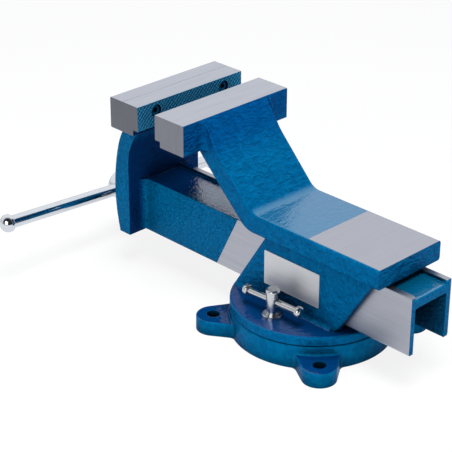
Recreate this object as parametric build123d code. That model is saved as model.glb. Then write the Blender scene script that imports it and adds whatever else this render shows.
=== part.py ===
from build123d import *
import math
import os

os.makedirs("parts", exist_ok=True)

# A steel bench vise on a swivel base. The origin is where the swivel axis meets the bench,
# +Z is up, -Y points at the user, who turns the spindle there, and X runs along the jaws.
# The vise is drawn part open, with its handle a little off level. All sizes are in millimetres.

# Clearances
RUN = 0.05  # a running fit, on the radius or on one side
FIT = 0.02  # a pressed or screwed fit, on the radius
AIR = 0.3  # a gap between pieces that pass without bearing on each other
BOLT_AIR = 0.5  # a bolt in its clearance hole, on the radius

# Overall height
HEIGHT = 213.9  # from the bench to the jaws' tops

# Swivel base
RING_RADIUS = 86.0
RING_HEIGHT = 26.0
LUG_THICKNESS = 16.0
LUG_COUNT = 4
LUG_REACH = 17.0  # from the ring's edge out to a lug's hole
LUG_END_RADIUS = 18.0
LUG_TURN = 2.0  # degrees that the base is turned under the body
LUG_ROOT_RADIUS = 28.0
LUG_FILLET = 9.0
LUG_HOLE_RADIUS = 7.0
BASE_EDGE = 1.5
BASE_FILLET = 2.5  # hollow fillet where a lug's top meets the ring
SEAM_EDGE = 1.0  # broken edges above and below the swivel's seam
HUB_RADIUS = 27.0
BASE_SKIN = 8.0  # metal left above the cored underside and below the T-slot

# Circular T-slot, T-nuts and lock bolts
WASHER_OFF_WALL = 3.75  # from the wall's foot fillet to a lock bolt's washer
SLOT_THROAT = 13.0
SLOT_WIDTH = 22.0
SLOT_LIP = 10.0
NUT_SIDE = 19.0
NUT_NECK_HEIGHT = 6.0
NUT_EDGE = 1.5
LOCK_RADIUS = 6.0
LOCK_TURN = 3.0  # degrees that each bar stands off the Y direction
WASHER_RADIUS = 10.7
WASHER_THICKNESS = 2.5
WASHER_EDGE = 0.4
COLLAR_RADIUS = 7.8
COLLAR_HEIGHT = 1.4
POST_FOOT_RADIUS = 6.2
POST_RADIUS = 7.5  # at its top
POST_HEIGHT = 26.6  # above the collar
POST_EDGE = 2.2
EYE_RISE = 14.5  # from the collar's foot up to the eye
EYE_SINK = 3.4  # depth of the countersink at each end of the eye
EYE_FLARE = 1.6  # how much wider than the eye a countersink opens
LOCK_BAR_RADIUS = 3.4
LOCK_BAR_LENGTH = 76.0
LOCK_KNOB_RADIUS = 6.0
LOCK_KNOB_LENGTH = 6.6
LOCK_KNOB_DOME = 0.55  # rounding of a knob's outer end, as a share of its radius
LOCK_KNOB_CRUST = 3.0  # thickness of a knob beyond the bar's end

# Pivot bolt
PIVOT_RADIUS = 8.0
PIVOT_HEAD_WIDTH = 24.0  # across flats
PIVOT_HEAD_HEIGHT = 8.0
PIVOT_WASHER_RADIUS = 15.0
PIVOT_WASHER_THICKNESS = 2.5
PIVOT_RECESS_AIR = 1.0  # round the washer

# Body: round flange, two side walls, floor
FLANGE_THICKNESS = 10.7
FLANGE_EDGE = 2.0
FLOOR_THICKNESS = 5.2  # the floor stands this much above the flange
WALL_THICKNESS = 10.0
WALL_FOOT_FRONT_Y = -76.0
WALL_FOOT_REAR_Y = 67.0
WALL_LEAN = 46.0  # the walls lean this far to the rear on their way up to the anvil
WALL_EDGE = 2.5
WALL_FILLET = 5.0
ROOF_THICKNESS = 3.2  # from the slide's way up to the anvil's underside

# Slide: an inverted channel
SLIDE_WIDTH = 60.0
SLIDE_HEIGHT = 63.7
SLIDE_WALL = 6.6
WEB_THICKNESS = 9.5
WEB_DROP = 4.0  # the web's top lies this far below the rails
SLIDE_REAR_Y = 153.2
SLIDE_EDGE = 2.5
RAIL_EDGE = 0.8
WEB_CORNER = 1.0
WEB_FILLET = 2.0
WEB_END = 3.0  # rounding of the web's rear edge

# Anvil, arm and jaw heads
ANVIL_WIDTH = 93.0
ANVIL_THICKNESS = 21.6
ANVIL_REAR_Y = 124.6
ARM_TOE = 70.2  # the upper slope would meet the anvil's top this far behind the jaw head
ARM_TOE_BEND = 18.0
ARM_KNEE = (19.2, 0.634)  # a bend in the upper slope: how far behind the head, share of the rise
ARM_KNEE_BEND = 60.0
ARM_HEEL = 60.2  # the lower slope would meet the anvil's underside this far behind the head
ARM_HEEL_BEND = 25.0
ARM_HAM = (24.2, 0.478)  # a bend in the lower slope: how far behind the head, share of the rise
ARM_HAM_BEND = 90.0
ARM_NAPE = 12.8  # the lower slope meets the head this far in front of its outer face
ARM_EDGE = 3.0
ARM_BLEND = 8.0
JAW_WIDTH = 151.0
JAW_DEPTH = 42.8  # outer face to gripping face
HEAD_HEIGHT = 34.0
HEAD_EDGE = 0.8

# Jaw plates and their screws
PLATE_THICKNESS = 23.0
PLATE_HEIGHT = 27.5
PLATE_PROUD = 7.5
PLATE_EDGE = 0.5
PLATE_SCREW_X = 48.8
PLATE_SCREW_DROP = 11.0
SCREW_RADIUS = 4.0
SCREW_HEAD_RADIUS = 6.4
SCREW_HEAD_HEIGHT = 8.0
SCREW_LENGTH = 30.0  # shank under the head
SCREW_HEAD_EDGE = 0.6
SOCKET_WIDTH = 6.0
SOCKET_DEPTH = 4.0
COUNTERBORE_DEPTH = 10.0

# Opening
FIXED_FACE_Y = -156.0
JAW_GAP = 26.6
MAX_OPENING = 150.0

# Neck: the plate that joins the moving jaw head to the slide
NECK_WIDTH = 104.0
NECK_REAR_GAP = 44.4  # from the gripping face forward to the neck's rear face
NECK_THICKNESS = 18.0  # at the foot
NECK_BELLY = 6.2  # the front bulges this much beyond the foot
NECK_CHIN_DROP = 34.0  # the front starts to turn in this far below the head
NECK_CHIN_IN = 1.0
NECK_CROOK_DROP = 54.0  # the rear face starts to turn in this far below the head
NECK_EDGE = 2.5
NECK_TOP_IN = 14.5  # the rear face meets the head this far in front of the gripping face
NECK_BLEND = 10.0
BOSS_RADIUS = 24.0
BOSS_PROUD = 3.0

# Spindle, its nut and its retaining pieces
SPINDLE_DROP = 39.8  # the axis below the web's top
JOURNAL_RADIUS = 12.5
THREAD_RADIUS = 12.0
SPINDLE_HEAD_RADIUS = 17.0
SPINDLE_HEAD_LENGTH = 51.0
SPINDLE_NOSE = 6.0  # rounding of the head's front edge
TURNED_EDGE = 1.0
THREAD_EDGE = 1.5
THRUST_RADIUS = 20.0
THRUST_THICKNESS = 3.0
EYE_FROM_FRONT = 15.0  # handle axis behind the head's front
SPRING_COUNT = 4
SPRING_PITCH = 2.1
SPRING_THICKNESS = 1.4
SPRING_RADIUS = 16.0
COLLAR_LENGTH = 10.0
RETAINER_RADIUS = 16.5
SPLIT_PIN_RADIUS = 1.5
SPLIT_PIN_LOOP = 2.0
NUT_FRONT_Y = -50.0
NUT_LENGTH = 40.0
NUT_WIDTH = 42.0
NUT_CROWN = 20.0  # height of the nut above the spindle's axis
NUT_SHOULDER = 18.0  # rounding of the nut's upper edges
NUT_SCREW_INSET = 9.0
NUT_SCREW_X = 15.0
NUT_SCREW_LENGTH = 19.0  # shank under the head
SPINDLE_SPARE = 3.0  # thread left beyond the nut at the widest opening

# Handle
HANDLE_RADIUS = 7.0
HANDLE_LENGTH = 320.0
HANDLE_SHIFT = 17.0  # how far the bar has slid to +X
HANDLE_TILT = 3.8  # degrees that its +X end stands above level
KNOB_RADIUS = 10.0
KNOB_LENGTH = 13.0
KNOB_CRUST = 4.0  # thickness of a knob beyond the bar's end
KNOB_DOME = 0.9
KNOB_MOUTH = 0.3  # rounding at a knob's mouth, as a share of its radius

# Label plate
LABEL_LENGTH = 76.0
LABEL_HEIGHT = 38.0
LABEL_THICKNESS = 0.6
LABEL_FRONT_Y = -31.0
LABEL_FOOT_RISE = 18.4  # above the flange

# Heights that follow
FLANGE_BOTTOM = RING_HEIGHT + AIR
FLANGE_TOP = FLANGE_BOTTOM + FLANGE_THICKNESS
FLOOR_TOP = FLANGE_TOP + FLOOR_THICKNESS
SLIDE_BOTTOM = FLOOR_TOP + RUN
SLIDE_TOP = SLIDE_BOTTOM + SLIDE_HEIGHT
WEB_TOP = SLIDE_TOP - WEB_DROP
ROOF = SLIDE_TOP + RUN
ANVIL_BOTTOM = ROOF + ROOF_THICKNESS
ANVIL_TOP = ANVIL_BOTTOM + ANVIL_THICKNESS
JAW_TOP = HEIGHT
HEAD_BOTTOM = JAW_TOP - HEAD_HEIGHT
PLATE_BOTTOM = JAW_TOP - PLATE_HEIGHT
SPINDLE_Z = WEB_TOP - SPINDLE_DROP

# Places along Y and round the base that follow
LUG_CIRCLE = RING_RADIUS + LUG_REACH
MOVING_FACE_Y = FIXED_FACE_Y - JAW_GAP
FIXED_OUTER_Y = FIXED_FACE_Y + JAW_DEPTH
ARM_NAPE_Y = FIXED_OUTER_Y - ARM_NAPE
MOVING_OUTER_Y = MOVING_FACE_Y - JAW_DEPTH
NECK_REAR_Y = MOVING_FACE_Y - NECK_REAR_GAP
NECK_FOOT_Y = NECK_REAR_Y - NECK_THICKNESS
NECK_FRONT_Y = NECK_FOOT_Y - NECK_BELLY
BOSS_FRONT_Y = NECK_FRONT_Y - BOSS_PROUD
THRUST_FRONT_Y = BOSS_FRONT_Y - THRUST_THICKNESS
SPINDLE_FRONT_Y = THRUST_FRONT_Y - RUN - SPINDLE_HEAD_LENGTH
HANDLE_Y = SPINDLE_FRONT_Y + EYE_FROM_FRONT
SPINDLE_REAR_Y = NUT_FRONT_Y + NUT_LENGTH + MAX_OPENING - JAW_GAP + SPINDLE_SPARE
SPRINGS_Y = NECK_REAR_Y + AIR
RETAINER_Y = SPRINGS_Y + SPRING_COUNT * SPRING_PITCH + AIR
BODY_HALF_WIDTH = SLIDE_WIDTH / 2 + RUN + WALL_THICKNESS
SLOT_CIRCLE = BODY_HALF_WIDTH + WALL_FILLET + WASHER_OFF_WALL + WASHER_RADIUS
LOCK_PLACES = {"right": (SLOT_CIRCLE, LOCK_TURN), "left": (-SLOT_CIRCLE, -LOCK_TURN)}
BEYOND = 1.0  # how far a cutter runs past what it cuts


def block(width, y_from, y_to, z_from, z_to):
    """A box centred on X, between two places along Y and two heights."""
    middle = (0, (y_from + y_to) / 2, (z_from + z_to) / 2)
    return Pos(*middle) * Box(width, y_to - y_from, z_to - z_from)


def upright(radius, x, y, z_from, z_to):
    """A cylinder that stands on the height z_from."""
    return Pos(x, y, (z_from + z_to) / 2) * Cylinder(radius, z_to - z_from)


def lying(radius, x, z, y_from, y_to):
    """A cylinder along Y."""
    return Pos(x, (y_from + y_to) / 2, z) * Rot(90, 0, 0) * Cylinder(radius, y_to - y_from)


def from_side(outline, width):
    """An outline of (Y, Z) points made solid, width across X."""
    return extrude(Plane.YZ * make_face(outline), amount=width / 2, both=True)


def from_rear(outline, y_from, y_to):
    """An outline of (X, Z) points made solid between two places along Y."""
    plane = Plane(origin=(0, y_to, 0), x_dir=(1, 0, 0), z_dir=(0, -1, 0))
    return extrude(plane * make_face(outline), amount=y_to - y_from)


def along_x(shape):
    """The edges of a shape that run along X."""
    return shape.edges().filter_by(Axis.X)


def cap_screw(length):
    """A socket cap screw on the Z axis: its head's seat at 0, its shank below."""
    head = upright(SCREW_HEAD_RADIUS, 0, 0, 0, SCREW_HEAD_HEIGHT)
    head = chamfer(head.edges().group_by(Axis.Z)[-1], SCREW_HEAD_EDGE)
    hexagon = Pos(0, 0, SCREW_HEAD_HEIGHT - SOCKET_DEPTH) * RegularPolygon(
        SOCKET_WIDTH / 2, 6, major_radius=False
    )
    shank = upright(SCREW_RADIUS, 0, 0, -length, 0)
    return head + shank - extrude(hexagon, amount=SOCKET_DEPTH + BEYOND)


# Swivel base ---------------------------------------------------------------


def lug_outline():
    """One lug seen from above, pointing along +X: a round end drawn out to a wider root."""
    end = Pos(LUG_CIRCLE, 0) * Circle(LUG_END_RADIUS)
    root = Pos(RING_RADIUS - LUG_ROOT_RADIUS, 0) * Circle(LUG_ROOT_RADIUS)
    return make_hull(end.edges() + root.edges())


def lug_turns():
    """The turn of each lug about the swivel axis."""
    return [Rot(0, 0, LUG_TURN + (index + 0.5) * 360 / LUG_COUNT) for index in range(LUG_COUNT)]


def ring_fillet():
    """A hollow fillet round the ring, at the height of the lugs' tops."""
    bow = BASE_FILLET * (1 - math.sqrt(0.5))
    arc = ThreePointArc(
        (RING_RADIUS, LUG_THICKNESS + BASE_FILLET),
        (RING_RADIUS + bow, LUG_THICKNESS + bow),
        (RING_RADIUS + BASE_FILLET, LUG_THICKNESS),
    )
    foot = LUG_THICKNESS - BEYOND
    inner = RING_RADIUS - BEYOND
    back = Polyline(arc @ 1, (RING_RADIUS + BASE_FILLET, foot), (inner, foot), (inner, (arc @ 0).Y), arc @ 0)
    return revolve(Plane.XZ * make_face(arc + back), Axis.Z)


def swivel_base():
    """Ring with four lugs, a circular T-slot, a hub for the pivot and a cored underside."""
    core_radius = RING_RADIUS - BASE_EDGE / 4
    plan = Circle(core_radius)
    for turn in lug_turns():
        plan += turn * lug_outline()
    roots = [v for v in plan.vertices() if math.hypot(v.X, v.Y) < RING_RADIUS]
    foot = extrude(fillet(roots, LUG_FILLET), amount=LUG_THICKNESS)
    foot = fillet(foot.edges().group_by(Axis.Z)[-1], BASE_EDGE)
    ring = upright(RING_RADIUS, 0, 0, 0, RING_HEIGHT)
    base = foot + chamfer(ring.edges().group_by(Axis.Z)[-1], SEAM_EDGE)
    base += ring_fillet() & extrude(plan, amount=RING_HEIGHT)
    slot_floor = BASE_SKIN
    lip_bottom = RING_HEIGHT - SLOT_LIP
    throat = (SLOT_CIRCLE - SLOT_THROAT / 2, SLOT_CIRCLE + SLOT_THROAT / 2)
    wide = (SLOT_CIRCLE - SLOT_WIDTH / 2, SLOT_CIRCLE + SLOT_WIDTH / 2)
    base -= tube(*throat, lip_bottom, RING_HEIGHT + BEYOND)
    base -= tube(*wide, slot_floor, lip_bottom)
    base -= tube(HUB_RADIUS, wide[0] - BASE_SKIN, -BEYOND, RING_HEIGHT - BASE_SKIN)
    recess_top = PIVOT_HEAD_HEIGHT + PIVOT_WASHER_THICKNESS + 3 * AIR
    base -= upright(PIVOT_WASHER_RADIUS + PIVOT_RECESS_AIR, 0, 0, -BEYOND, recess_top)
    base -= upright(PIVOT_RADIUS + RUN, 0, 0, 0, RING_HEIGHT + BEYOND)
    for turn in lug_turns():
        base -= turn * upright(LUG_HOLE_RADIUS, LUG_CIRCLE, 0, -BEYOND, LUG_THICKNESS + BEYOND)
    return base


def tube(inner, outer, z_from, z_to):
    """A round tube on the swivel axis."""
    return upright(outer, 0, 0, z_from, z_to) - upright(inner, 0, 0, z_from, z_to)


# Body ----------------------------------------------------------------------


def jaw_head(face_y, outer_y):
    """One jaw head: a bar across X with a rebate for its plate, open towards the face."""
    inward = math.copysign(1, face_y - outer_y)
    seat_y = face_y - inward * PLATE_THICKNESS
    ledge_y = face_y - inward * PLATE_PROUD
    outline = Polyline(
        (outer_y, HEAD_BOTTOM),
        (outer_y, JAW_TOP),
        (seat_y, JAW_TOP),
        (seat_y, PLATE_BOTTOM),
        (ledge_y, PLATE_BOTTOM),
        (ledge_y, HEAD_BOTTOM),
        close=True,
    )
    head = from_side(outline, JAW_WIDTH)
    outer_edges = [e for e in along_x(head) if abs(e.center().Y - outer_y) < RUN]
    return chamfer(outer_edges, HEAD_EDGE)


def plate_screw_places(face_y):
    """Where each of a jaw plate's screws seats, turned so that its head faces the gap."""
    inward = 1 if face_y < FIXED_FACE_Y else -1
    seat_y = face_y - inward * COUNTERBORE_DEPTH
    height = JAW_TOP - PLATE_SCREW_DROP
    turn = Rot(-90 * inward, 0, 0)
    return [Pos(x, seat_y, height) * turn for x in (-PLATE_SCREW_X, PLATE_SCREW_X)]


def screw_holes(face_y):
    """Cutters for a jaw plate's screws: counterbores and shanks."""
    bore = upright(SCREW_HEAD_RADIUS + BOLT_AIR, 0, 0, 0, COUNTERBORE_DEPTH + BEYOND)
    bore += upright(SCREW_RADIUS + FIT, 0, 0, -SCREW_LENGTH - BEYOND, 0)
    return [place * bore for place in plate_screw_places(face_y)]


def jaw_plate(face_y):
    """A jaw plate with its edges broken and two counterbored holes."""
    inward = 1 if face_y < FIXED_FACE_Y else -1
    back_y = face_y - inward * PLATE_THICKNESS
    plate = block(JAW_WIDTH, min(face_y, back_y), max(face_y, back_y), PLATE_BOTTOM, JAW_TOP)
    plate = chamfer(plate.edges().filter_by(Axis.X), PLATE_EDGE)
    for hole in screw_holes(face_y):
        plate -= hole
    return plate


def plate_screws(face_y):
    """The two screws of one jaw plate."""
    return Compound(children=[place * cap_screw(SCREW_LENGTH) for place in plate_screw_places(face_y)])


def arm_outline():
    """The anvil and the arm that sweeps up and forward from it to the fixed jaw."""
    knee_in, knee_share = ARM_KNEE
    knee_z = ANVIL_TOP + knee_share * (JAW_TOP - ANVIL_TOP)
    ham_in, ham_share = ARM_HAM
    ham_z = ANVIL_BOTTOM + ham_share * (HEAD_BOTTOM - ANVIL_BOTTOM)
    corners = [
        ((ANVIL_REAR_Y, ANVIL_BOTTOM), 0),
        ((ANVIL_REAR_Y, ANVIL_TOP), 0),
        ((FIXED_OUTER_Y + ARM_TOE, ANVIL_TOP), ARM_TOE_BEND),
        ((FIXED_OUTER_Y + knee_in, knee_z), ARM_KNEE_BEND),
        ((FIXED_OUTER_Y, JAW_TOP - HEAD_EDGE), 0),
        ((ARM_NAPE_Y, JAW_TOP - HEAD_EDGE), 0),
        ((ARM_NAPE_Y, HEAD_BOTTOM), 0),
        ((FIXED_OUTER_Y + ham_in, ham_z), ARM_HAM_BEND),
        ((FIXED_OUTER_Y + ARM_HEEL, ANVIL_BOTTOM), ARM_HEEL_BEND),
    ]
    points = [point for point, radius in corners]
    radii = [radius for point, radius in corners]
    return FilletPolyline(*points, radius=radii, close=True)


def arm_and_anvil():
    """The arm and anvil made solid, with the arm's long edges rounded."""
    arm = from_side(arm_outline(), ANVIL_WIDTH)
    sides = arm.faces().filter_by(Axis.X).edges()
    slopes = [e for e in sides if ARM_NAPE_Y < e.center().Y < WALL_LEAN and e.center().Z < HEAD_BOTTOM]
    return fillet(slopes, ARM_EDGE)


def hollow_fillet(radius, height):
    """A hollow fillet that fills the corner at the origin between +X and +Y, along Z from 0."""
    bow = radius * (1 - math.sqrt(0.5))
    arc = ThreePointArc((0, radius), (bow, bow), (radius, 0))
    outline = arc + Polyline(arc @ 1, (radius, -BEYOND), (-BEYOND, -BEYOND), (-BEYOND, radius), arc @ 0)
    return extrude(make_face(outline), amount=height)


def arm_blends():
    """The hollow fillets between the jaw head's outer face and the arm's flanks."""
    corner = Pos(ANVIL_WIDTH / 2, FIXED_OUTER_Y, HEAD_BOTTOM + HEAD_EDGE)
    strip = corner * hollow_fillet(ARM_BLEND, HEAD_HEIGHT - 2 * HEAD_EDGE)
    strip += mirror(strip, about=Plane.YZ)
    return strip & from_side(arm_outline(), ANVIL_WIDTH + 3 * ARM_BLEND)


def side_walls():
    """The two side walls as one leaning block: the slide's way is cut through it later."""
    rear_foot = (WALL_FOOT_REAR_Y, FLANGE_TOP)
    front_foot = (WALL_FOOT_FRONT_Y, FLANGE_TOP)
    outline = Polyline(
        front_foot,
        rear_foot,
        (WALL_FOOT_REAR_Y + WALL_LEAN, ANVIL_BOTTOM),
        (WALL_FOOT_FRONT_Y + WALL_LEAN, ANVIL_BOTTOM),
        close=True,
    )
    walls = from_side(outline, 2 * BODY_HALF_WIDTH)
    leaning = [e for e in walls.edges() if abs(e.tangent_at(0).Z) > 0.1]
    return fillet(leaning, WALL_EDGE)


def foot_fillets():
    """The hollow fillets between the flange and the two side walls."""
    length = WALL_FOOT_REAR_Y - WALL_FOOT_FRONT_Y - 2 * WALL_FILLET
    corner = Pos(BODY_HALF_WIDTH, WALL_FOOT_REAR_Y - WALL_FILLET, FLANGE_TOP) * Rot(90, 0, 0)
    strip = corner * hollow_fillet(WALL_FILLET, length)
    strip += mirror(strip, about=Plane.YZ)
    return strip & upright(RING_RADIUS - FLANGE_EDGE, 0, 0, FLANGE_BOTTOM, FLOOR_TOP + WALL_FILLET)


def flange():
    """The round flange that turns on the base."""
    disc = upright(RING_RADIUS, 0, 0, FLANGE_BOTTOM, FLANGE_TOP)
    disc = chamfer(disc.edges().group_by(Axis.Z)[0], SEAM_EDGE)
    return fillet(disc.edges().group_by(Axis.Z)[-1], FLANGE_EDGE)


def vise_body():
    """The fixed casting: flange, walls, anvil, arm and jaw head, bored for what it carries."""
    body = flange() + side_walls()
    body += foot_fillets()
    body += arm_and_anvil() + jaw_head(FIXED_FACE_Y, FIXED_OUTER_Y)
    body += arm_blends()
    way = 2 * (SLIDE_WIDTH / 2 + RUN)
    body -= block(way, -RING_RADIUS - BEYOND, ANVIL_REAR_Y, FLOOR_TOP, ROOF)
    body -= upright(PIVOT_RADIUS + FIT, 0, 0, FLANGE_BOTTOM - BEYOND, FLOOR_TOP + BEYOND)
    for x, turn in LOCK_PLACES.values():
        hole = LOCK_RADIUS + BOLT_AIR
        body -= upright(hole, x, 0, FLANGE_BOTTOM - BEYOND, FLANGE_TOP + BEYOND)
    for place in nut_screw_places():
        body -= place * upright(SCREW_HEAD_RADIUS + BOLT_AIR, 0, 0, 0, SCREW_HEAD_HEIGHT + BEYOND)
        body -= place * upright(SCREW_RADIUS + FIT, 0, 0, -SCREW_LENGTH, 0)
    for hole in screw_holes(FIXED_FACE_Y):
        body -= hole
    return body


def label_plate():
    """A bare foil plate on the +X wall."""
    x = BODY_HALF_WIDTH + LABEL_THICKNESS / 2
    middle_y = LABEL_FRONT_Y + LABEL_LENGTH / 2
    middle_z = FLANGE_TOP + LABEL_FOOT_RISE + LABEL_HEIGHT / 2
    plate = Pos(x, middle_y, middle_z) * Box(LABEL_THICKNESS, LABEL_LENGTH, LABEL_HEIGHT)
    return fillet(plate.edges().filter_by(Axis.X), 2 * LABEL_THICKNESS)


# Swivel clamp --------------------------------------------------------------


def pivot_bolt():
    """Hexagon bolt up through the hub into the body's floor."""
    head = extrude(
        Pos(0, 0, AIR) * RegularPolygon(PIVOT_HEAD_WIDTH / 2, 6, major_radius=False),
        amount=PIVOT_HEAD_HEIGHT,
    )
    head_top = AIR + PIVOT_HEAD_HEIGHT
    return head + upright(PIVOT_RADIUS, 0, 0, head_top, FLOOR_TOP - AIR)


def pivot_washer():
    """Washer between the pivot bolt's head and the hub."""
    bottom = AIR + PIVOT_HEAD_HEIGHT
    top = bottom + PIVOT_WASHER_THICKNESS
    return tube(PIVOT_RADIUS + FIT, PIVOT_WASHER_RADIUS, bottom, top)


def t_nut(x):
    """Square T-nut in the circular slot, its neck in the slot's throat."""
    lip_bottom = RING_HEIGHT - SLOT_LIP
    nut_top = lip_bottom - AIR
    body = Box(NUT_SIDE, NUT_SIDE, nut_top - BASE_SKIN - AIR)
    nut = Pos(x, 0, (nut_top + BASE_SKIN + AIR) / 2) * body
    nut = chamfer(nut.edges().filter_by(Axis.Z), NUT_EDGE)
    nut += upright(SLOT_THROAT / 2 - BOLT_AIR, x, 0, nut_top, nut_top + NUT_NECK_HEIGHT)
    return nut - upright(LOCK_RADIUS + RUN, x, 0, 0, RING_HEIGHT)


def lock_washer(x):
    """Flat washer on the flange."""
    top = FLANGE_TOP + WASHER_THICKNESS
    washer = upright(WASHER_RADIUS, x, 0, FLANGE_TOP, top)
    washer = chamfer(washer.edges().group_by(Axis.Z)[-1], WASHER_EDGE)
    return washer - upright(LOCK_RADIUS + BOLT_AIR, x, 0, 0, top + BEYOND)


LOCK_SEAT = FLANGE_TOP + WASHER_THICKNESS + RUN
LOCK_EYE_Z = LOCK_SEAT + EYE_RISE


def lock_bolt(x, turn):
    """Eye bolt: shank into the T-nut, collar on the washer, tapered post with a cross hole."""
    shank_foot = BASE_SKIN + 2 * AIR
    bolt = upright(LOCK_RADIUS, 0, 0, shank_foot, LOCK_SEAT)
    collar_top = LOCK_SEAT + COLLAR_HEIGHT
    bolt += upright(COLLAR_RADIUS, 0, 0, LOCK_SEAT, collar_top)
    post = Pos(0, 0, collar_top + POST_HEIGHT / 2) * Cone(POST_FOOT_RADIUS, POST_RADIUS, POST_HEIGHT)
    bolt += fillet(post.edges().group_by(Axis.Z)[-1], POST_EDGE)
    eye = LOCK_BAR_RADIUS + RUN
    bolt -= lying(eye, 0, LOCK_EYE_Z, -POST_RADIUS - BEYOND, POST_RADIUS + BEYOND)
    sink = Cone(eye, eye + EYE_FLARE, EYE_SINK)
    for side in (1, -1):
        bolt -= Pos(0, side * (POST_RADIUS - EYE_SINK / 2), LOCK_EYE_Z) * Rot(-90 * side, 0, 0) * sink
    return Pos(x, 0, 0) * Rot(0, 0, turn) * bolt


def lock_bar(x, turn):
    """Round bar that slides through the eye of a lock bolt."""
    reach = LOCK_BAR_LENGTH / 2 - LOCK_KNOB_CRUST
    bar = lying(LOCK_BAR_RADIUS, 0, LOCK_EYE_Z, -reach, reach)
    return Pos(x, 0, 0) * Rot(0, 0, turn) * bar


def knob(radius, length, bore, crust, dome):
    """A turned knob on the Z axis, domed at +Z, with its mouth at 0 and a blind bore."""
    body = upright(radius, 0, 0, 0, length)
    body = fillet(body.edges().group_by(Axis.Z)[-1], radius * dome)
    body = fillet(body.edges().group_by(Axis.Z)[0], radius * KNOB_MOUTH)
    return body - upright(bore + FIT, 0, 0, -BEYOND, length - crust)


def lock_knobs(x, turn):
    """The two knobs on the ends of a lock bar."""
    reach = LOCK_BAR_LENGTH / 2 - LOCK_KNOB_LENGTH
    one = knob(LOCK_KNOB_RADIUS, LOCK_KNOB_LENGTH, LOCK_BAR_RADIUS, LOCK_KNOB_CRUST, LOCK_KNOB_DOME)
    pair = [Pos(0, side * reach, LOCK_EYE_Z) * Rot(-90 * side, 0, 0) * one for side in (1, -1)]
    place = Pos(x, 0, 0) * Rot(0, 0, turn)
    return Compound(children=[place * piece for piece in pair])


# Sliding jaw ---------------------------------------------------------------


def slide_channel():
    """The slide: two side plates joined by a web a little below their tops."""
    half = SLIDE_WIDTH / 2
    inner = half - SLIDE_WALL
    web_bottom = WEB_TOP - WEB_THICKNESS
    right_side = [
        ((inner, WEB_TOP), WEB_CORNER),
        ((inner, SLIDE_TOP), 0),
        ((half, SLIDE_TOP), RAIL_EDGE),
        ((half, SLIDE_BOTTOM), SLIDE_EDGE),
        ((inner, SLIDE_BOTTOM), 0),
        ((inner, web_bottom), WEB_FILLET),
    ]
    left_side = [((-x, z), radius) for (x, z), radius in reversed(right_side)]
    corners = right_side + left_side
    points = [point for point, radius in corners]
    radii = [radius for point, radius in corners]
    outline = FilletPolyline(*points, radius=radii, close=True)
    channel = from_rear(outline, NECK_REAR_Y - NECK_THICKNESS / 2, SLIDE_REAR_Y)
    ends = [e for e in along_x(channel) if SLIDE_REAR_Y - e.center().Y < RUN and abs(e.center().X) < RUN]
    return fillet([e for e in ends if abs(e.center().Z - WEB_TOP) < RUN], WEB_END)


def neck():
    """The bulging front plate that carries the moving jaw head on the slide's front end."""
    chin = (NECK_FOOT_Y + NECK_CHIN_IN, HEAD_BOTTOM - NECK_CHIN_DROP)
    belly = (NECK_FRONT_Y, (chin[1] + SLIDE_BOTTOM) / 2)
    crook = (NECK_REAR_Y, HEAD_BOTTOM - NECK_CROOK_DROP)
    front = ThreePointArc((NECK_FOOT_Y, SLIDE_BOTTOM), belly, chin)
    brow = TangentArc(chin, (MOVING_OUTER_Y + HEAD_EDGE, HEAD_BOTTOM), tangent=front % 1)
    lid = Line(brow @ 1, (MOVING_FACE_Y - NECK_TOP_IN, HEAD_BOTTOM))
    back = TangentArc(crook, lid @ 1, tangent=(0, 1))
    rear = Line(crook, (NECK_REAR_Y, SLIDE_BOTTOM))
    foot = Line(rear @ 1, front @ 0)
    plate = from_side(front + brow + lid + back + rear + foot, NECK_WIDTH)
    sides = plate.faces().filter_by(Axis.X).edges()
    rims = [e for e in sides if e.center().Y < NECK_REAR_Y - BEYOND and e.center().Z > SLIDE_BOTTOM + RUN]
    rims = [e for e in rims if e.center().Z < HEAD_BOTTOM - RUN]
    return fillet(rims, NECK_EDGE)


def neck_blends():
    """The hollow fillets between the neck's rear face and the slide's sides."""
    corner = Pos(SLIDE_WIDTH / 2, NECK_REAR_Y, SLIDE_BOTTOM + SLIDE_EDGE)
    strip = corner * hollow_fillet(NECK_BLEND, SLIDE_HEIGHT - SLIDE_EDGE - RAIL_EDGE)
    return strip + mirror(strip, about=Plane.YZ)


def sliding_jaw():
    """The moving jaw head, its neck and the slide, welded and painted as one."""
    jaw = slide_channel() + neck() + jaw_head(MOVING_FACE_Y, MOVING_OUTER_Y) + neck_blends()
    jaw += lying(BOSS_RADIUS, 0, SPINDLE_Z, BOSS_FRONT_Y, NECK_REAR_Y - BEYOND)
    bore = JOURNAL_RADIUS + RUN
    jaw -= lying(bore, 0, SPINDLE_Z, BOSS_FRONT_Y - BEYOND, NECK_REAR_Y + BEYOND)
    for hole in screw_holes(MOVING_FACE_Y):
        jaw -= hole
    return jaw


# Spindle -------------------------------------------------------------------


def nut_screw_places():
    """Where each lead nut screw seats under the flange, head downwards."""
    seat = FLANGE_BOTTOM + SCREW_HEAD_HEIGHT + AIR
    first = NUT_FRONT_Y + NUT_SCREW_INSET
    last = NUT_FRONT_Y + NUT_LENGTH - NUT_SCREW_INSET
    spots = [(x, y) for x in (-NUT_SCREW_X, NUT_SCREW_X) for y in (first, last)]
    return [Pos(x, y, seat) * Rot(180, 0, 0) for x, y in spots]


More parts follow.
